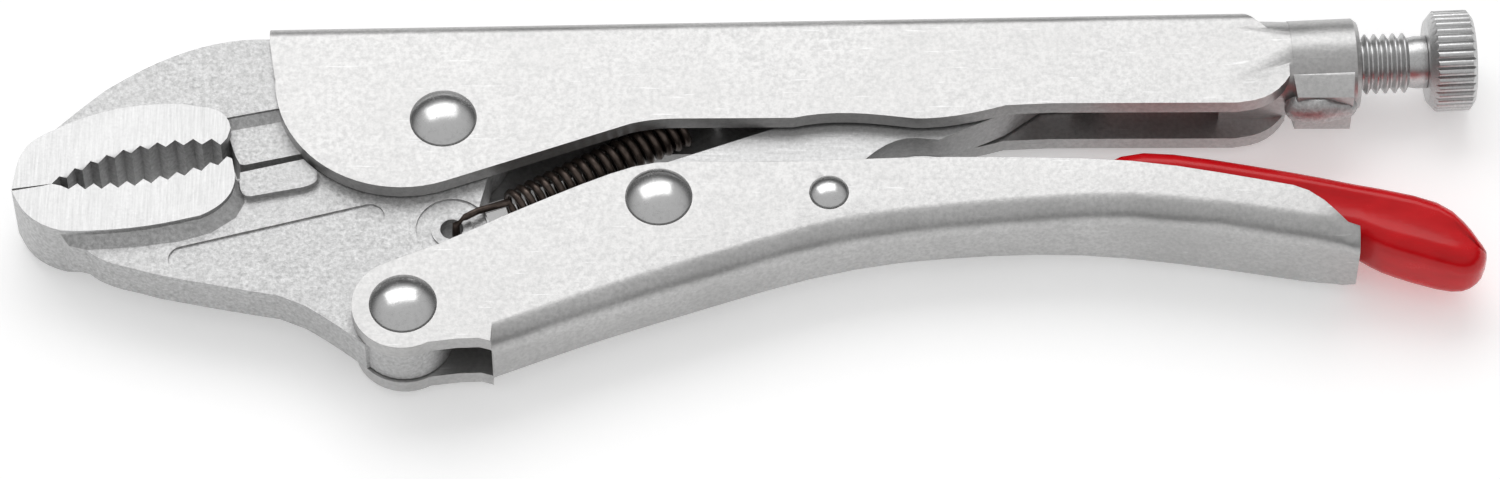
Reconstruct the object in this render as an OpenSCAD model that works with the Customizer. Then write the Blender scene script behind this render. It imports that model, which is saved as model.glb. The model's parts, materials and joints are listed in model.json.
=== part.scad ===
// Locking pliers, shown locked with the jaw tips closed.
// Drawn about the main rivet: X runs to the rear, Y across the handles, Z through the tool.
// The whole tool is then set down on its side, with the origin under the middle of its outline.

/* [Overall] */
// distance from the main rivet forward to the jaw tips
jaw_len = 56.5; // [45:0.5:70]
// distance from the main rivet back to the rear face of the screw collar
handle_len = 121; // [100:1:150]
// outer width of both sheet channels at the rivets
body_w = 11; // [9:0.2:14]
// thickness of the sheet steel
plate_t = 2.3; // [1.6:0.1:3]

/* [Rivets] */
// forward or backward offset of the handle rivet from the main rivet
handle_rivet_x = -4.5; // [-8:0.5:0]
// drop of the handle rivet below the main rivet
handle_rivet_drop = 28.5; // [24:0.5:32]
// distance of the link rivet behind the main rivet
link_rivet_x = 28.4; // [25:0.2:32]
// drop of the link rivet below the main rivet
link_rivet_drop = 12.2; // [11:0.2:14]
// distance of the lever rivet behind the main rivet
lever_rivet_x = 50.6; // [48:0.2:53]
// drop of the lever rivet below the main rivet
lever_rivet_drop = 11.5; // [10.5:0.1:12.5]
// shank radius of the three large rivets
rivet_r = 3.2; // [2.4:0.1:3.6]
// head radius of the three large rivets
head_r = 4.4; // [3.8:0.1:5]
// head height of the three large rivets
head_h = 1.7; // [1:0.1:2.2]
// shank radius of the lever rivet
small_rivet_r = 1.7; // [1.2:0.1:2]
// head radius of the lever rivet
small_head_r = 2.6; // [2.2:0.1:3]
// head height of the lever rivet
small_head_h = 1.0; // [0.6:0.1:1.4]

/* [Jaws] */
// half of the thickness over the gripping pads
pad_half = 5.1; // [4.4:0.1:6.5]
// number of teeth on each jaw
teeth = 10; // [8:1:14]
// depth of one tooth
tooth_h = 0.9; // [0.4:0.1:1.2]

/* [Screw] */
// outer radius of the screw thread
thread_r = 4.0; // [3:0.5:5]
// distance between neighbouring thread crests
thread_pitch = 1.25; // [1:0.25:1.5]
// radius of the knurled knob
knob_r = 6.7; // [5:0.1:8]
// length of the knurled knob
knob_l = 6.2; // [4:0.1:9]
// number of ridges round the knob
knurl_count = 34; // [24:1:44]

/* [Lower handle] */
// half of the outer width at the flared rear end
flare_half = 7.0; // [6:0.1:8]

/* [Spring] */
// outer radius of the spring coils
spring_r = 2.65; // [2:0.05:3]
// radius of the spring wire
wire_r = 0.52; // [0.4:0.02:0.6]
// number of turns
spring_turns = 19; // [12:1:24]

/* [Hidden] */
eps = 0.05;
run_gap = 0.05;
side_gap = 0.2;
half_w = body_w / 2;
inner_half = half_w - plate_t;
tang_half = inner_half - side_gap;
bar_half = inner_half - 0.4;
long = 60;
main_rivet = [0, 0];
handle_rivet = [handle_rivet_x, -handle_rivet_drop];
link_rivet = [link_rivet_x, -link_rivet_drop];
lever_rivet = [lever_rivet_x, -lever_rivet_drop];

// upper channel
channel_rise = 1.17;
channel_top = 15.6;
channel_front = -23.3;
channel_round = 2.5;
lobe_c = [-5.3, 6.3];
lobe_r = 17;
channel_end = handle_len - 9.5;

// screw axis, tilted up towards the rear
screw_tilt = 3;
collar_y = 12.1;
collar_r = 6.2;
bore_r = thread_r + run_gap;
thread_depth = 0.7;
point_r = inner_half - 0.4;
neck_r = 3.5;
// places along the screw axis, measured from the rear face of the collar
tip_s = -34.4;
thread_from = -17;
thread_to = 7.4;
knob_from = 9.2;
knob_bore = 2.4;
knob_edge = 0.7;
knurl_depth = 0.6;

// whole outline, for setting the tool down
low_scale = (handle_len - 1.4) / 119.6;
knob_end_x = handle_len + (knob_from + knob_l) * cos(screw_tilt);
rear_x = max(knob_end_x, 136.9 * low_scale);
low_y = -handle_rivet_drop - 6.9;
high_y = collar_y + (knob_from + knob_l) * sin(screw_tilt) + knob_r;
shift = [(jaw_len - rear_x) / 2, -(low_y + high_y) / 2, half_w + head_h];

// colours
steel = [0.82, 0.83, 0.84];
forged = [0.72, 0.73, 0.74];
dark = [0.16, 0.14, 0.13];
red = [0.75, 0.02, 0.05];

function arc(c, r, a, b, n) = [for (i = [0:n]) c + r * [cos(a + (b - a) * i / n), sin(a + (b - a) * i / n)]];
function curve(a, m, b, n) = [for (i = [0:n]) let (u = i / n) (1-u)*(1-u)*a + 2*u*(1-u)*m + u*u*b];

// one value at x from a list of [x, value] pairs, eased between neighbours
function at(x, t) = x <= t[0][0] ? t[0][1] : x >= t[len(t)-1][0] ? t[len(t)-1][1] :
    [for (i = [0:len(t)-2]) if (x >= t[i][0] && x < t[i+1][0]) seg(x, t, i)][0];
function slope(t, i) = i <= 0 ? (t[1][1] - t[0][1]) / (t[1][0] - t[0][0]) :
    i >= len(t) - 1 ? (t[i][1] - t[i-1][1]) / (t[i][0] - t[i-1][0]) :
    (t[i+1][1] - t[i-1][1]) / (t[i+1][0] - t[i-1][0]);
function seg(x, t, i) = let (h = t[i+1][0] - t[i][0], u = (x - t[i][0]) / h)
    (2*u*u*u - 3*u*u + 1) * t[i][1] + (u*u*u - 2*u*u + u) * h * slope(t, i)
    + (3*u*u - 2*u*u*u) * t[i+1][1] + (u*u*u - u*u) * h * slope(t, i + 1);

// a solid through a row of closed rings that all have the same number of points
module skin(rings) {
    n = len(rings[0]);
    m = len(rings);
    pts = [for (r = rings) for (p = r) p];
    sides = [for (i = [0:m-2]) for (j = [0:n-1]) for (k = [0, 1])
        let (a = i*n + j, b = i*n + (j+1) % n, c = a + n, d = b + n) k == 0 ? [a, d, b] : [a, c, d]];
    // each end is closed by a strip that zips the first half of the ring to the second
    front = [for (j = [0:n/2-2]) for (k = [0, 1])
        k == 0 ? [n-1-j, j+1, n-2-j] : [n-1-j, j, j+1]];
    back = [for (j = [0:n/2-2]) for (k = [0, 1]) let (e = (m-1)*n)
        k == 0 ? [e+j, e+n-2-j, e+j+1] : [e+j, e+n-1-j, e+n-2-j]];
    polyhedron(points = pts, faces = concat(sides, front, back), convexity = 8);
}

module flat(half) {
    translate([0, 0, -half]) linear_extrude(height = 2 * half) children();
}

module pin(p, r, half) {
    translate([p[0], p[1], -half]) cylinder(r = r, h = 2 * half, $fn = 48);
}

module on_screw_axis() {
    translate([handle_len, collar_y, 0]) rotate([0, 0, screw_tilt]) rotate([0, 90, 0]) children();
}

// ---------- upper handle ----------
module upper_side() {
    polygon(concat(
        [[channel_front, 20], [channel_front, 12.5], [channel_front + 0.9, 6.3]],
        arc(lobe_c, lobe_r, 180, 290, 22),
        curve([24.6, -0.8], [27.6, 0], [31, 0], 5),
        curve([46, 0.1], [51, 1.4], [58, 0.5], 6),
        curve([62, 0], [67, -0.1], [74, 2.1], 6),
        [[80, 2.4], [channel_end - 7, 2.5]],
        curve([channel_end - 6, 2.7], [channel_end - 2, 3.1], [channel_end, 6.8], 6),
        [[channel_end, 12], [channel_end - 3, 14.6], [channel_end - 5.6, 17.2], [channel_end - 5.6, 25]]));
}

module channel_ring(outset, r) {
    hull() {
        for (s = [-1, 1]) translate([s * (outset - r), channel_top - (half_w - outset) - r])
            circle(r = r, $fn = 32);
        translate([-outset, -long]) square([2 * outset, 10]);
    }
}

module channel_profile() {
    difference() {
        channel_ring(half_w, channel_round);
        channel_ring(inner_half, 0.4);
    }
}

module along_channel() {
    rotate([0, 0, channel_rise]) translate([-long, 0, 0]) rotate([0, 90, 0])
        linear_extrude(height = long * 3.2) children();
}

// where the ends of the sheet meet under the collar
module seam_lip() {
    hull() {
        translate([handle_len - 8.9, 7.4, -4.6]) cube([8.1, 1, 9.2]);
        translate([handle_len - 8.4, 4.4, -3.8]) cube([7.4, 1, 7.6]);
    }
}

module collar() {
    on_screw_axis() translate([0, 0, -9.1]) cylinder(r = collar_r, h = 8.5, $fn = 64);
    on_screw_axis() translate([0, 0, -0.6 - eps]) cylinder(r1 = collar_r, r2 = collar_r - 0.5, h = 0.6 + eps, $fn = 64);
    // shoulder where the flat channel is formed into the round collar
    hull() {
        translate([channel_end - 9, 5.6, 0.15 - half_w]) cube([1, 9.2, 2 * half_w - 0.3]);
        translate([channel_end - 9, 5.6, channel_round - half_w]) cube([1, 11.5, 2 * (half_w - channel_round)]);
        on_screw_axis() translate([0, 0, -9.4]) cylinder(r = collar_r - 0.15, h = 1, $fn = 64);
    }
    seam_lip();
}

module upper_handle() {
    color(steel) difference() {
        union() {
            intersection() {
                flat(half_w) upper_side();
                along_channel() channel_profile();
            }
            collar();
            pin([36, 4.6], 0.9, half_w - plate_t / 2);
        }
        pin(main_rivet, rivet_r, long);
        on_screw_axis() translate([0, 0, -26]) cylinder(r = bore_r, h = 30, $fn = 64);
    }
}

module collar_weld() {
    color(forged) difference() {
        hull() {
            translate([handle_len - 7.9, 4.9, 0.8]) sphere(r = 2.1, $fn = 24);
            translate([handle_len - 5.6, 4.9, 1.2]) sphere(r = 2.5, $fn = 24);
            translate([handle_len - 2, 5.2, 0.6]) sphere(r = 1.7, $fn = 24);
        }
        seam_lip();
        on_screw_axis() translate([0, 0, -20]) cylinder(r = collar_r, h = 24, $fn = 64);
        translate([handle_len - 20, 5.3, -long]) cube([30, long, 2 * long]);
    }
}

// ---------- jaws ----------
// the two rows of teeth bow apart between the closed tip and the throat
mouth_tip = [-50.9, -9.9];
lower_tip = [-49.7, -10.2];
upper_throat = [-29.1, -3.4];
lower_throat = [-28.2, -6.1];
upper_bow = [-41.5, -2.8];
lower_bow = [-39, -11];
hub_r = 8.8;
spring_hole = [1.4, -15.6];
face_cut = 0.3;
function tooth_row(b, m, e, side) = let (c = curve(b, m, e, 2 * teeth))
    [for (i = [1:2*teeth]) c[i] + [0, (i % 2 == 0 ? -0.5 : 0.5) * side * tooth_h]];

module upper_pad_side() {
    polygon(concat(
        [[-jaw_len + 0.4, -10.7], mouth_tip], tooth_row(mouth_tip, upper_bow, upper_throat, 1),
        [[-28.3, -2.8]], curve([-27.9, -1.2], [-28.4, 2], [-32.2, 2.1], 6),
        curve([-34, 2.5], [-42, 3], [-49, -0.4], 8),
        curve([-51, -1.5], [-55.4, -3.4], [-jaw_len + 0.8, -7.4], 6)));
}

module upper_crown() {
    polygon(concat(
        curve([-jaw_len + 1.6, -6], [-52.2, -2], [-44.6, 5], 8),
        curve([-41.9, 6.9], [-32.4, 13.4], [-23.4, 13], 10),
        [[-10, 13.4], [-10, 4.7], [-28.6, 0.6], [-32, 0.6], [-40, -4]]));
}

module throat_block() {
    polygon([[-30, 1.4], [-30, -0.4], [-28.4, -1], [-27.2, -4.6], [-26.6, -5.8], [-25.9, -5.9],
        [-12, -2.6], [-12, 5], [-24, 3]]);
}

module fixed_jaw() {
    color(forged) difference() {
        union() {
            flat(pad_half) upper_pad_side();
            flat(pad_half - 0.4) difference() {
                upper_crown();
                upper_side();
            }
            // slanted step down to the narrow block above the throat
            intersection() {
                hull() {
                    flat(pad_half - 0.6) polygon([[-29, 0.9], [-12, 4.6], [-12, 7], [-29, 4]]);
                    flat(inner_half + 0.2) polygon([[-29, -0.8], [-12, 2.8], [-12, 7], [-29, 4]]);
                }
                flat(pad_half) difference() {
                    translate([-40, -long]) square([40, 2 * long]);
                    upper_side();
                }
            }
            flat(inner_half + 0.2) difference() {
                throat_block();
                upper_side();
            }
            flat(inner_half) polygon([[-24.5, 12.2], [-24.5, -4.9], [-17.6, -3.6], [-9.2, -3.2],
                [-4, 8], [-4, 12.8]]);
        }
        pin(main_rivet, hub_r + 0.6, long);
    }
}

module lower_pad_side() {
    polygon(concat(
        [[-jaw_len + 0.4, -11], [-52, -10.2], mouth_tip, lower_tip],
        tooth_row(lower_tip, lower_bow, lower_throat, -1),
        [[-27.5, -6]],
        curve([-27, -8.6], [-26.8, -12.6], [-31.3, -14.8], 8),
        curve([-34, -15.5], [-40, -17.1], [-47.5, -17.2], 6),
        curve([-49.4, -17.1], [-53.6, -16], [-jaw_len + 1.2, -12.6], 6)));
}

module lower_body_side() {
    polygon(concat(
        curve([-47.6, -16], [-47, -20], [-40, -21.6], 8),
        curve([-36.6, -22.6], [-28, -24.5], [-21, -25.7], 5),
        curve([-17.5, -27.2], [-14, -29.4], [-9.4, -33.2], 5),
        arc(handle_rivet, 6.3, 225, 370, 16),
        arc(spring_hole, 5, -45, 45, 10),
        arc(main_rivet, hub_r, -45, 205, 28),
        [[-10.5, -4.9], [-16.6, -6.4], [-19.4, -5.9], [-26.6, -7.8], [-29, -8], [-29, -13], [-40, -14]]));
}

module movable_jaw() {
    color(forged) difference() {
        union() {
            flat(pad_half) lower_pad_side();
            flat(tang_half) lower_body_side();
            // wall of the pad, sloping down on to the body behind the tip
            hull() {
                flat(pad_half - 0.8) polygon([[-49.6, -16.9], [-47.5, -17.1], [-40, -16.6], [-34, -15.6],
                    [-31, -14.6], [-28.2, -12.6], [-27.1, -10.4], [-27.1, -8.6], [-34, -11], [-46, -13]]);
                flat(tang_half) polygon([[-48.4, -18.2], [-46, -18.8], [-40, -18.4], [-34, -17.5],
                    [-30, -16.2], [-26.8, -13.8], [-25.8, -11.6], [-26, -8.8], [-34, -11], [-46, -13]]);
            }
            flat(tang_half + 0.9) difference() {
                polygon(concat(
                    curve([-18.2, -5.3], [-16.9, -5.2], [-16.5, -6.6], 4),
                    curve([-16.3, -8.4], [-16.5, -9.2], [-18.3, -9.7], 4),
                    curve([-25, -11.1], [-26.3, -11.3], [-26.5, -9], 4),
                    [[-26.5, -7.4]]));
                translate(lobe_c) circle(r = lobe_r + 0.4, $fn = 96);
            }
        }
        pin(main_rivet, rivet_r + run_gap, long);
        pin(handle_rivet, rivet_r + run_gap, long);
        pin(spring_hole, 1.5, long);
        // shallow oblong field and round spot face, on each side
        for (s = [-1, 1]) translate([0, 0, s * (tang_half + 1 - face_cut)]) {
            hull() for (p = [[-33.4, -20.2], [-9.4, -13.7]])
                translate([p[0], p[1], -1]) cylinder(r = 2, h = 2, $fn = 24);
            difference() {
                translate([spring_hole[0], spring_hole[1], -1]) cylinder(r = 4.7, h = 2, $fn = 48);
                translate([spring_hole[0], spring_hole[1], -1 - eps]) cylinder(r = 2.7, h = 2.1, $fn = 48);
            }
        }
    }
}

// ---------- lower handle ----------
low_top = [[7, -15.7], [16, -11.3], [22, -8.6], [27, -7], [32, -6.7], [46, -6.7], [60, -6.1], [74, -6.2],
    [86, -7], [96, -8.4], [106, -10.4], [111, -11.4], [114, -12.8], [117, -15.6], [119.6, -18.2]];
low_bottom = [[7, -34.6], [20, -29.3], [34, -24.3], [46, -20.2], [54, -18.1], [62, -16.8], [74, -15.7],
    [86, -15.3], [96, -16.1], [106, -17.6], [114, -19], [119.6, -19.9]];
low_half = [[60, half_w], [76, half_w + 0.4], [92, flare_half], [110, flare_half + 0.2],
    [116, flare_half - 0.1], [119.6, flare_half - 1.2]];
web_front = 7;
low_x = [-13, web_front - 0.1, web_front, 10, 14, 18, 22, 25, 28, 32, 37, 42, 48, 54, 60, 66, 72, 78, 84, 90, 96, 102, 107, 111, 113,
    115, 116.5, 118, 119, 119.6];
bend_r = 3.4;

function low_ring(x) = let (
        w = at(x, low_half), b = x < web_front ? -46 : at(x, low_bottom),
        t = x < web_front ? -12 : max(at(x, low_top), b + plate_t + 0.8),
        r = min(bend_r, t - b - 0.3), q = max(r - plate_t, 0.4), v = w - plate_t,
        f = b + plate_t, g = min(q, t - f - 0.3))
    [for (p = concat([[w, t]], [for (a = [0:18:90]) [w - r + r*cos(a), b + r - r*sin(a)]],
        [for (a = [90:-18:0]) [-w + r - r*cos(a), b + r - r*sin(a)]], [[-w, t], [-v, t]],
        [for (a = [0:18:90]) [-v + g - g*cos(a), f + g - g*sin(a)]],
        [for (a = [90:-18:0]) [v - g + g*cos(a), f + g - g*sin(a)]], [[v, t]])) [x * low_scale, p[1], p[0]]];

// everything in front of the bent part that lies outside the two round ears
module ear_waste() {
    polygon(concat(
        [[-20, 10], [web_front + 0.3, 10], [web_front + 0.3, -15.6], [0, -19.3]],
        arc(handle_rivet, 6.7, 110, 300, 22),
        [[2.6, -33.8], [5.4, -33.7], [6.8, -34.1], [web_front + 0.3, -34.5], [web_front + 0.3, -long],
        [-20, -long]]));
}

module lower_handle() {
    color(steel) difference() {
        skin([for (x = low_x) low_ring(x)]);
        flat(long) ear_waste();
        pin(handle_rivet, rivet_r, long);
        pin(link_rivet, rivet_r, long);
        pin(lever_rivet, small_rivet_r, long);
    }
}

// ---------- toggle link ----------
link_end = [80.9, 9.3];
module toggle_link() {
    color(forged) difference() {
        flat(bar_half) polygon(concat(
            arc(link_rivet, 6.4, 120, 290, 20),
            curve([36, -14.6], [40, -9.6], [50, -6.2], 6),
            curve([54.6, -5.6], [58.4, -1.2], [62, -1.3], 6),
            [[65.2, -1.6], [74, 2.6], [79, 6.4]],
            arc(link_end, 3.4, -50, 112, 14),
            [[62, 6], [45, 0.8]]));
        pin(link_rivet, rivet_r + run_gap, long);
    }
}

// ---------- release lever ----------
lever_tail = [[74, -12.6], [86, -12.2], [96, -12.9], [106, -14.2], [116, -15.8], [128, -18.6],
    [131.5, -18.4], [131, -14.6], [126, -12.6], [116, -9.6], [106, -7.2], [98, -6.4], [88, -7],
    [78, -6.6], [70, -4.9]];
module lever_side() {
    polygon(concat(
        arc(lever_rivet, 4.2, 130, 280, 14),
        [[62, -13.6]],
        [for (p = lever_tail) [p[0] * low_scale, p[1]]],
        curve([66.4, -4], [61.4, -2.8], [58.2, -4.8], 6),
        [[55.4, -6.9]]));
}

module release_lever() {
    color(steel) difference() {
        flat(bar_half - 0.4) lever_side();
        pin(lever_rivet, small_rivet_r + run_gap, long);
    }
}

sleeve_top = [[86, -6.9], [87.4, -4.4], [91.6, -3.3], [95.6, -3.5], [105, -5.1], [115, -7.1], [125.5, -9.9],
    [129.4, -11.1], [132, -12.6], [134.4, -15.2], [135.6, -16.9], [136.3, -17.8]];
sleeve_bottom = [[86, -11.8], [87.4, -12.6], [95.6, -13.2], [106, -14.8], [115, -16.2], [119.8, -17],
    [121.5, -18], [123, -18.8], [128, -20.6], [132.4, -21.8], [134.4, -21.6], [135.6, -20.7], [136.3, -19.2]];
sleeve_half = [[86, 2.8], [88, 3.7], [96, 4.1], [118, 4.1], [124, 4.6], [130, 4.7], [134, 4.1],
    [135.6, 3], [136.3, 1.6]];
sleeve_x = [86, 86.6, 87.4, 89, 92, 96, 101, 106, 111, 115, 118, 120, 121.5, 123, 125, 127, 130, 132, 133.4, 134.4,
    135.2, 135.8, 136.3];
// a thicker sheet leaves less room for the sleeve inside the lower handle
sleeve_trim = max(0, plate_t - 2.3);

function sleeve_ring(x) = let (w = at(x, sleeve_half) - sleeve_trim / 2, t = at(x, sleeve_top), b = at(x, sleeve_bottom) + sleeve_trim,
        h = (t - b) / 2, c = (t + b) / 2, r = min(w - 0.1, h - 0.05, 2.6), d = min(0.5, h / 8))
    [for (p = concat(
        [for (a = [0:18:90]) [w - r + r*cos(a), -h + r - r*sin(a)]],
        [for (a = [90:-18:0]) [-w + r - r*cos(a), -h + r - r*sin(a)]], [[d - w, 0.3 * h]],
        [for (a = [0:18:90]) [-w + r - r*cos(a), h - r + r*sin(a)]],
        [for (a = [90:-18:0]) [w - r + r*cos(a), h - r + r*sin(a)]], [[w - d, 0.3 * h]])) [x * low_scale, c + p[1], p[0]]];

module lever_sleeve() {
    color(red) difference() {
        skin([for (x = sleeve_x) sleeve_ring(x)]);
        flat(bar_half - 0.4) lever_side();
    }
}

// ---------- screw ----------
module adjusting_screw() {
    ridges = floor((thread_to - thread_from) / thread_pitch);
    color(steel) on_screw_axis() rotate_extrude($fn = 64) polygon(concat(
        [[0, tip_s], [point_r - 0.6, tip_s], [point_r, tip_s + 0.6], [point_r, thread_from - 1.2]],
        [for (i = [0:ridges-1]) for (k = [[0.1, -thread_depth], [0.45, 0], [0.6, 0], [0.95, -thread_depth]])
            [thread_r + k[1], thread_from + (i + k[0]) * thread_pitch]],
        [[neck_r, thread_to + 0.3], [neck_r, knob_from - run_gap], [knob_bore, knob_from - run_gap],
        [knob_bore, knob_from + knob_l - 0.5], [knob_bore - 0.4, knob_from + knob_l - 0.1],
        [0, knob_from + knob_l - 0.1]]));
}

// rounded ridges with sharp roots between them
knurl_side = [for (i = [0:knurl_count-1]) for (k = [0:5])
    let (a = (i + k / 6) * 360 / knurl_count, r = knob_r - knurl_depth * (1 - sqrt(sin(30 * k))))
    r * [cos(a), sin(a)]];

module adjusting_knob() {
    color(steel) on_screw_axis() intersection() {
        translate([0, 0, knob_from]) rotate_extrude($fn = 72) polygon([
            [knob_bore + run_gap, 0], [knob_r - knob_edge - 0.5, 0], [knob_r + 0.4, knob_edge + 0.7],
            [knob_r + 0.4, knob_l - knob_edge - 0.3], [knob_r - knob_edge - 0.2, knob_l],
            [knob_bore + run_gap, knob_l]]);
        translate([0, 0, knob_from - 1]) linear_extrude(height = knob_l + 2) polygon(knurl_side);
    }
}

// ---------- spring ----------
coil_r = spring_r - wire_r;
coil_from = [8.6, -10.9];
coil_to = [32, 2.4];
coil_run = coil_to - coil_from;
coil_len = norm(coil_run);
coil_dir = coil_run / coil_len;
coil_side = [-coil_dir[1], coil_dir[0]];
turn_steps = 14;
function coil_point(i) = let (a = 90 + 360 * i / turn_steps, s = coil_len * i / (spring_turns * turn_steps),
        p = coil_from + coil_dir * s + coil_side * coil_r * cos(a)) [p[0], p[1], coil_r * sin(a)];
spring_path = concat(
    [[1.9, -15.3, -0.6], [1.9, -15.3, 1.4], [2, -15.2, tang_half + 0.5], [3.2, -14.4, tang_half + 1.1],
    [4.8, -13.4, tang_half + 1], [6.6, -12.3, tang_half + 0.2]],
    [for (i = [0:spring_turns*turn_steps]) coil_point(i)],
    [[33.5, 3.6, 1.2], [34.3, 4.8, 0.3], [35, 5.9, 0], [36.2, 6.3, 0], [37.4, 5.8, 0], [37.7, 4.4, 0], [37, 3.2, 0]]);

function unit(v) = v / norm(v);
function wire_ring(i, n) = let (
        p = spring_path[i], t = unit(spring_path[min(i+1, n-1)] - spring_path[max(i-1, 0)]),
        c = [coil_dir[0], coil_dir[1], 0],
        u = unit(cross(t, abs(t * c) > 0.9 ? [0, 0, 1] : c)), v = cross(t, u))
    [for (k = [0:5]) p + wire_r * (cos(60*k) * u + sin(60*k) * v)];

module tension_spring() {
    n = len(spring_path);
    color(dark) skin([for (i = [0:n-1]) wire_ring(i, n)]);
}

// ---------- rivets ----------
module rivet(p, r, hr, hh) {
    round_r = (hr * hr + hh * hh) / (2 * hh);
    top = asin(hr / round_r);
    color(steel) translate([p[0], p[1], 0]) rotate_extrude($fn = 64) polygon(concat(
        [[0, -half_w - hh]],
        [for (i = [1:8]) [round_r * sin(top * i / 8), -half_w - hh + round_r * (1 - cos(top * i / 8))]],
        [[r, -half_w], [r, half_w]],
        [for (i = [8:-1:1]) [round_r * sin(top * i / 8), half_w + hh - round_r * (1 - cos(top * i / 8))]],
        [[0, half_w + hh]]));
}

module jaw_rivet() {
    rivet(main_rivet, rivet_r, head_r, head_h);
}

module handle_rivet_pin() {
    rivet(handle_rivet, rivet_r, head_r, head_h);
}

module link_rivet_pin() {
    rivet(link_rivet, rivet_r, head_r, head_h);
}

module lever_rivet_pin() {
    rivet(lever_rivet, small_rivet_r, small_head_r, small_head_h);
}

translate(shift) {
    upper_handle();
    collar_weld();
    fixed_jaw();
    movable_jaw();
    lower_handle();
    toggle_link();
    release_lever();
    lever_sleeve();
    adjusting_screw();
    adjusting_knob();
    tension_spring();
    jaw_rivet();
    handle_rivet_pin();  // handle_rivet
    link_rivet_pin();  // link_rivet
    lever_rivet_pin();  // lever_rivet
}
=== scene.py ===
import bpy
import json
import math
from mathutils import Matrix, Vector


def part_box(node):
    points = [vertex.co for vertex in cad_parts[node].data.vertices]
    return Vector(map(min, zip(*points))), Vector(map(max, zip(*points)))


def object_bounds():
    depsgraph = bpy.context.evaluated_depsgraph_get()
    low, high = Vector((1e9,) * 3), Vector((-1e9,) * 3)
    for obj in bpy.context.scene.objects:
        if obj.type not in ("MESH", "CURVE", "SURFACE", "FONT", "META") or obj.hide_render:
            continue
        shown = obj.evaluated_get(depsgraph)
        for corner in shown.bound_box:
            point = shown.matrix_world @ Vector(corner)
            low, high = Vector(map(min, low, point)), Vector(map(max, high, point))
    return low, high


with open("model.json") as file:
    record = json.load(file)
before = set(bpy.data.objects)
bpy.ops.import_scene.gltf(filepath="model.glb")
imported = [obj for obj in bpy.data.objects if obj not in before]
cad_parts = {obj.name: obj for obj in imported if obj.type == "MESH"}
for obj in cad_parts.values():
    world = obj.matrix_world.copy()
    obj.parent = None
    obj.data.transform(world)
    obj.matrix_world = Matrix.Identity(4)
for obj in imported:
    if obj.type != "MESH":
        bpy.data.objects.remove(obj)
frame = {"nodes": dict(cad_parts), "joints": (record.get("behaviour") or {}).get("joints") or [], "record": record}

cad_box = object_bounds()
MM = 0.001

# ---------------- places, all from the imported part
joints = {j["name"]: j for j in frame["joints"]}
MAIN = Vector(joints["jaw_hinge"]["pos_m"])
MID_Z = MAIN.z  # the middle of the tool's thickness


# ---------------- node material helper
class Nodes:
    """A small helper that adds and joins shader nodes."""

    def __init__(self, name):
        self.mat = bpy.data.materials.new(name)
        self.mat.use_nodes = True
        self.tree = self.mat.node_tree
        self.bsdf = self.tree.nodes["Principled BSDF"]

    def add(self, kind, inputs=None, **props):
        node = self.tree.nodes.new(kind)
        for key, value in props.items():
            setattr(node, key, value)
        for key, value in (inputs or {}).items():
            self.put(node, key, value)
        return node

    def put(self, node, key, value):
        socket = node.inputs[key]
        if isinstance(value, bpy.types.NodeSocket):
            self.tree.links.new(value, socket)
        else:
            socket.default_value = value

    def set(self, **values):
        for key, value in values.items():
            self.put(self.bsdf, key.replace("_", " "), value)

    def coords(self, scale=(1, 1, 1), turn=(0, 0, 0)):
        """Object coordinates in millimetres, stretched by scale."""
        tex = self.add("ShaderNodeTexCoord")
        size = [s / MM for s in scale]
        return self.add("ShaderNodeMapping", {
            "Vector": tex.outputs["Object"], "Scale": size, "Rotation": turn,
        }).outputs["Vector"]

    def noise(self, vector, scale, detail, rough):
        """Noise of about scale cells per millimetre of the stretched coordinates."""
        return self.add("ShaderNodeTexNoise", {
            "Vector": vector, "Scale": scale, "Detail": detail, "Roughness": rough,
        }).outputs["Fac"]

    def span(self, value, low, high, to_low=0.0, to_high=1.0):
        """Maps low..high to to_low..to_high, held at both ends."""
        return self.add("ShaderNodeMapRange", {
            "Value": value, "From Min": low, "From Max": high,
            "To Min": to_low, "To Max": to_high,
        }).outputs["Result"]

    def math(self, how, a, b=0.5):
        return self.add("ShaderNodeMath", {0: a, 1: b}, operation=how).outputs[0]

    def mix(self, fac, a, b):
        node = self.add("ShaderNodeMix", data_type="RGBA")
        self.put(node, 0, fac)
        self.put(node, 6, a)
        self.put(node, 7, b)
        return node.outputs[2]

    def bump(self, height, strength, distance, normal=None):
        node = self.add("ShaderNodeBump", {
            "Height": height, "Strength": strength, "Distance": distance,
        })
        if normal is not None:
            self.put(node, "Normal", normal)
        return node.outputs["Normal"]


def grey(v, warm=0.0):
    """A grey, with a little more red than blue where warm is given."""
    return (v + warm, v, v - warm, 1.0)


SCUFF_TURN = math.radians(24)
GRIND_TURN = math.radians(-14)
PAD_FADE = (0.25, 0.05)  # mm under the pad's face, where the grind starts and is full
OIL_DARK, OIL_LIGHT = (0.045, 0.032, 0.026, 1), (0.13, 0.10, 0.085, 1)
RED_DEEP, RED_LIGHT = (0.56, 0.0005, 0.004, 1), (0.68, 0.001, 0.006, 1)


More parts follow.
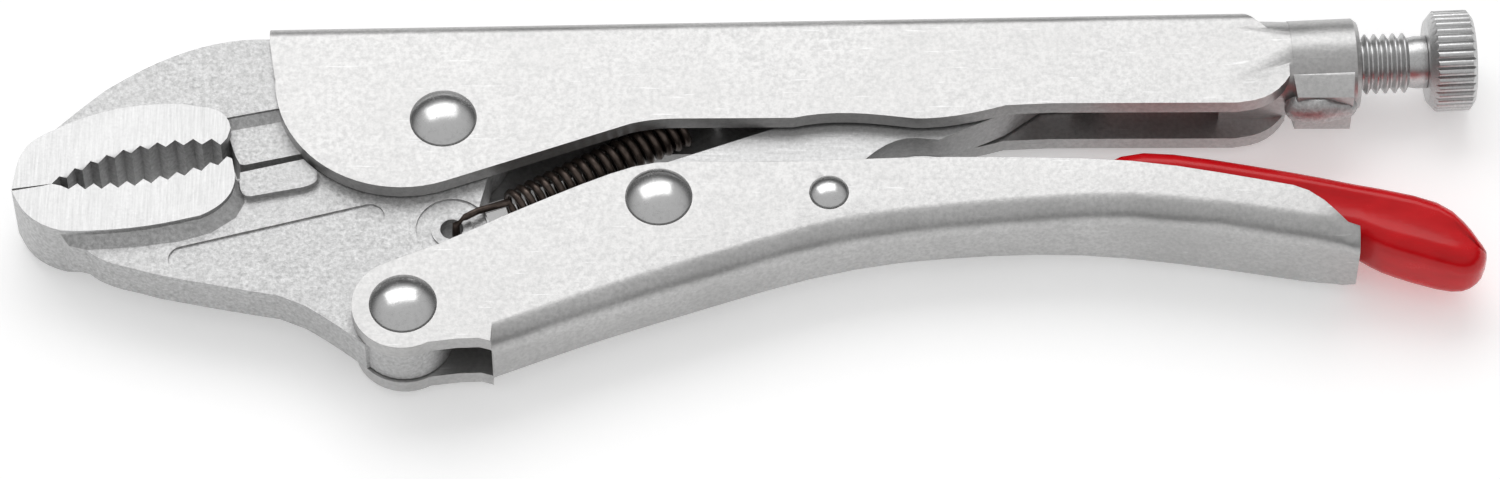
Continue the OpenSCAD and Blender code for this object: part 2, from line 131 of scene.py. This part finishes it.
def plated_sheet():
    """Satin plated sheet steel: fine grain under the plating, soft mottling, small scuffs."""
    m = Nodes("plated_sheet")
    mm = m.coords()
    grain = m.noise(mm, 1.7, 8.0, 0.62)
    fine = m.noise(mm, 7.0, 4.0, 0.6)
    cloud = m.noise(mm, 0.07, 3.0, 0.5)
    along = m.coords((0.25, 3.0, 3.0), (0, 0, SCUFF_TURN))
    scuff = m.noise(along, 0.8, 3.0, 0.5)
    base = m.mix(m.span(cloud, 0.35, 0.65), grey(0.50, 0.004), grey(0.60, 0.004))
    base = m.mix(m.span(grain, 0.38, 0.66, 0.0, 0.55), base, grey(0.36))
    base = m.mix(m.span(scuff, 0.66, 0.74, 0.0, 0.5), base, grey(0.70))
    rough = m.math("ADD", m.span(cloud, 0.3, 0.7, 0.33, 0.42),
                   m.span(fine, 0.3, 0.7, -0.05, 0.07))
    normal = m.bump(grain, 0.30, 0.10 * MM)
    normal = m.bump(fine, 0.12, 0.04 * MM, normal)
    m.set(Base_Color=base, Metallic=0.85, Roughness=rough, Normal=normal)
    return m.mat


def forged_jaw():
    """Forged and plated jaw steel: coarse on the sunk faces, a slanting grind on the pads."""
    m = Nodes("forged_jaw")
    mm = m.coords()
    pad_top = (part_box("fixed_jaw")[1][2] - MID_Z) / MM
    tex = m.add("ShaderNodeTexCoord")
    split = m.add("ShaderNodeSeparateXYZ", {"Vector": tex.outputs["Object"]})
    height = m.math("ABSOLUTE", m.math("SUBTRACT", split.outputs["Z"], MID_Z))
    pad = m.span(height, (pad_top - PAD_FADE[0]) * MM, (pad_top - PAD_FADE[1]) * MM)
    coarse = m.noise(mm, 1.9, 8.0, 0.64)
    pits = m.noise(mm, 3.6, 5.0, 0.6)
    grind = m.noise(m.coords((4.0, 0.22, 4.0), (0, 0, GRIND_TURN)), 1.0, 5.0, 0.62)
    cloud = m.noise(mm, 0.09, 2.0, 0.5)
    rough_base = m.mix(m.span(coarse, 0.32, 0.66), grey(0.36), grey(0.62))
    pad_base = m.mix(m.span(grind, 0.3, 0.7), grey(0.42), grey(0.54))
    rough = m.math("ADD", m.span(pad, 0, 1, 0.42, 0.34),
                   m.span(pits, 0.3, 0.7, -0.05, 0.07))
    base = m.mix(pad, rough_base, pad_base)
    base = m.mix(m.span(cloud, 0.4, 0.7, 0.0, 0.3), base, grey(0.52))
    cast = m.math("MULTIPLY", m.math("ADD", coarse, m.math("MULTIPLY", pits, 0.4)),
                  m.span(pad, 0, 1, 1.0, 0.12))
    normal = m.bump(cast, 0.45, 0.2 * MM)
    cut = m.math("MULTIPLY", grind, m.span(pad, 0, 1, 0.1, 1.0))
    normal = m.bump(cut, 0.25, 0.04 * MM, normal)
    m.set(Base_Color=base, Metallic=0.85, Roughness=rough, Normal=normal)
    return m.mat


def polished_rivet():
    """Polished rivet steel with faint smears and small nicks."""
    m = Nodes("polished_rivet")
    mm = m.coords()
    nick = m.noise(mm, 1.6, 5.0, 0.7)
    smear = m.noise(mm, 0.35, 3.0, 0.5)
    rough = m.math("ADD", m.span(smear, 0.3, 0.7, 0.18, 0.28),
                   m.span(nick, 0.55, 0.75, 0.0, 0.12))
    base = m.mix(m.span(nick, 0.5, 0.75, 0.0, 0.5), grey(0.62), grey(0.42))
    m.set(Base_Color=base, Metallic=1.0, Roughness=rough, Normal=m.bump(nick, 0.08, 0.08 * MM))
    return m.mat


def turned_steel():
    """Turned and plated screw steel: fine rings round the screw and a light grain."""
    m = Nodes("turned_steel")
    mm = m.coords()
    rings = m.noise(m.coords((7.0, 0.5, 0.5)), 1.0, 4.0, 0.6)
    grain = m.noise(mm, 3.5, 5.0, 0.65)
    base = m.mix(m.span(grain, 0.3, 0.75), grey(0.62), grey(0.45))
    rough = m.math("ADD", m.span(rings, 0.3, 0.7, 0.24, 0.36),
                   m.span(grain, 0.3, 0.7, 0.0, 0.06))
    normal = m.bump(rings, 0.18, 0.05 * MM)
    normal = m.bump(grain, 0.15, 0.08 * MM, normal)
    m.set(Base_Color=base, Metallic=0.95, Roughness=rough, Normal=normal)
    return m.mat


def lever_steel():
    """Stamped and plated inner parts, a little duller than the handles."""
    m = Nodes("lever_steel")
    mm = m.coords()
    grain = m.noise(mm, 1.8, 6.0, 0.7)
    draw = m.noise(m.coords((0.12, 4.0, 4.0)), 1.0, 4.0, 0.6)
    base = m.mix(m.span(grain, 0.3, 0.7), grey(0.40), grey(0.58))
    rough = m.span(draw, 0.3, 0.7, 0.34, 0.48)
    normal = m.bump(grain, 0.3, 0.12 * MM)
    normal = m.bump(draw, 0.12, 0.05 * MM, normal)
    m.set(Base_Color=base, Metallic=0.9, Roughness=rough, Normal=normal)
    return m.mat


def spring_wire():
    """Dark oiled spring wire with a brown, blotched cast."""
    m = Nodes("spring_wire")
    mm = m.coords()
    blot = m.noise(mm, 0.8, 4.0, 0.6)
    fine = m.noise(mm, 6.0, 3.0, 0.6)
    base = m.mix(m.span(blot, 0.3, 0.7), OIL_DARK, OIL_LIGHT)
    rough = m.span(fine, 0.3, 0.7, 0.26, 0.42)
    normal = m.bump(fine, 0.2, 0.03 * MM)
    m.set(Base_Color=base, Metallic=0.75, Roughness=rough, Normal=normal)
    return m.mat


def red_dip():
    """Glossy red dipped coating: slightly uneven skin, deep colour, clear sheen."""
    m = Nodes("red_dip")
    mm = m.coords()
    sag = m.noise(m.coords((0.5, 1.2, 1.2)), 0.35, 3.0, 0.5)
    speck = m.noise(mm, 5.0, 3.0, 0.6)
    base = m.mix(m.span(sag, 0.3, 0.7), RED_DEEP, RED_LIGHT)
    rough = m.math("ADD", m.span(sag, 0.3, 0.7, 0.17, 0.25),
                   m.span(speck, 0.4, 0.7, 0.0, 0.05))
    normal = m.bump(sag, 0.10, 0.5 * MM)
    normal = m.bump(speck, 0.05, 0.05 * MM, normal)
    m.set(Base_Color=base, Roughness=rough, Normal=normal)
    m.set(Specular_IOR_Level=0.30, Coat_Weight=0.05, Coat_Roughness=0.10)
    return m.mat


MATERIALS = {
    "handle_steel": plated_sheet(),
    "jaw_steel": forged_jaw(),
    "rivet_steel": polished_rivet(),
    "screw_steel": turned_steel(),
    "lever_steel": lever_steel(),
    "spring_steel": spring_wire(),
    "red_dip": red_dip(),
}


# ---------------- the CAD pieces
WELD_GAP = 0.002         # mm, so that only corners in one place are joined
BEVEL_SEGMENTS = 3
BEVEL_ANGLE = math.radians(32.0)
EDGE = {                 # mm of rounding, for the pieces with edges worn or ground soft
    "upper_handle": 0.28,
    "lower_handle": 0.28,
    "fixed_jaw": 0.14,
    "movable_jaw": 0.16,
    "toggle_link": 0.7,
    "release_lever": 0.4,
    "adjusting_screw": 0.08,
    "adjusting_knob": 0.06,
}


def dress(obj, material):
    """Gives an object one material in every slot."""
    if not obj.material_slots:
        obj.data.materials.append(material)
    for slot in obj.material_slots:
        slot.link = "OBJECT"
        slot.material = material


def joined(obj):
    """Joins the separate faces of a CAD mesh, so that its round parts shade smoothly."""
    weld = obj.modifiers.new("weld", "WELD")
    weld.merge_threshold = WELD_GAP * MM


def soften(obj, width):
    """Rounds the edges as the real piece is rounded, without touching the CAD mesh."""
    bevel = obj.modifiers.new("bevel", "BEVEL")
    bevel.width = width * MM
    bevel.segments = BEVEL_SEGMENTS
    bevel.limit_method = "ANGLE"
    bevel.angle_limit = BEVEL_ANGLE
    bevel.use_clamp_overlap = True
    bevel.harden_normals = False
    smooth = obj.modifiers.new("normals", "WEIGHTED_NORMAL")
    smooth.keep_sharp = True


slot_of = {s["node"]: s["material_slot"] for s in frame["record"]["subparts"]}
for node, obj in frame["nodes"].items():
    dress(obj, MATERIALS[slot_of[node]])
    for poly in obj.data.polygons:
        poly.use_smooth = True
    joined(obj)
    if node in EDGE:
        soften(obj, EDGE[node])


# ---------------- floor, lights, camera
FLOOR_SIZE = 4.0
FLOOR_TONE = 0.93
FLOOR_GLOW = 0.30        # lifts the floor to the picture's near white
WORLD_LOW, WORLD_HIGH = 0.10, 0.66
WORLD_TONES = ((0.26, 0.10), (0.40, 0.46), (0.60, 0.64))  # how far up, and how bright
KEY_PLACE = (-0.15, 0.75, 0.95)
KEY_SIZE = (1.3, 0.8)
KEY_WATTS = 5.8
ELEVATION = math.radians(58.0)
DISTANCE = 0.853
LENS = 156.5
SENSOR = 36.0
NEAREST = 0.01
AIM_DROP = 7.5           # mm from the middle of the CAD box to the middle of the picture


def floor():
    """A pale matt floor that glows a little, as the picture's lit ground does."""
    bpy.ops.mesh.primitive_plane_add(size=FLOOR_SIZE, location=(0, 0, 0))
    plane = bpy.context.object
    plane.name = "floor"
    m = Nodes("pale_floor")
    m.set(Base_Color=grey(FLOOR_TONE), Roughness=0.9, Specular_IOR_Level=0.1)
    m.set(Emission_Color=grey(1.0), Emission_Strength=FLOOR_GLOW)
    plane.data.materials.append(m.mat)


def area_light(name, place, aim, size, power):
    """A rectangular lamp at place that faces aim."""
    data = bpy.data.lights.new(name, "AREA")
    data.shape = "RECTANGLE"
    data.size = size[0]
    data.size_y = size[1]
    data.energy = power
    lamp = bpy.data.objects.new(name, data)
    bpy.context.scene.collection.objects.link(lamp)
    lamp.location = place
    lamp.rotation_euler = (Vector(aim) - Vector(place)).to_track_quat("-Z", "Y").to_euler()


def studio():
    """A white tent, dark at the horizon, with one large soft panel behind the tool."""
    world = bpy.data.worlds.new("studio")
    world.use_nodes = True
    tree = world.node_tree
    place = tree.nodes.new("ShaderNodeTexCoord")
    split = tree.nodes.new("ShaderNodeSeparateXYZ")
    ramp = tree.nodes.new("ShaderNodeValToRGB")
    tree.links.new(place.outputs["Generated"], split.inputs[0])
    tree.links.new(split.outputs["Z"], ramp.inputs["Fac"])
    tree.links.new(ramp.outputs["Color"], tree.nodes["Background"].inputs["Color"])
    tree.nodes["Background"].inputs["Strength"].default_value = 1.0
    tones = ramp.color_ramp.elements
    tones[0].position = 0.0
    tones[0].color = grey(WORLD_LOW)
    tones[1].position = 1.0
    tones[1].color = grey(WORLD_HIGH)
    for where, tone in WORLD_TONES:
        tones.new(where).color = grey(tone)
    bpy.context.scene.world = world
    area_light("key", KEY_PLACE, (0, 0, 0), KEY_SIZE, KEY_WATTS)
    bpy.context.scene.view_settings.view_transform = "Standard"


def camera():
    """Looks down at the tool from its lower side, as the picture does."""
    low, high = (Vector(c) for c in cad_box)
    centre = (low + high) / 2
    aim = Vector((centre.x, centre.y - AIM_DROP * MM, MID_Z))
    data = bpy.data.cameras.new("camera")
    data.lens = LENS
    data.sensor_width = SENSOR
    data.clip_start = NEAREST
    cam = bpy.data.objects.new("camera", data)
    back = Vector((0, -math.cos(ELEVATION), math.sin(ELEVATION)))
    cam.location = aim + back * DISTANCE
    cam.rotation_euler = (math.pi / 2 - ELEVATION, 0, 0)
    bpy.context.scene.collection.objects.link(cam)
    bpy.context.scene.camera = cam


floor()
studio()
camera()
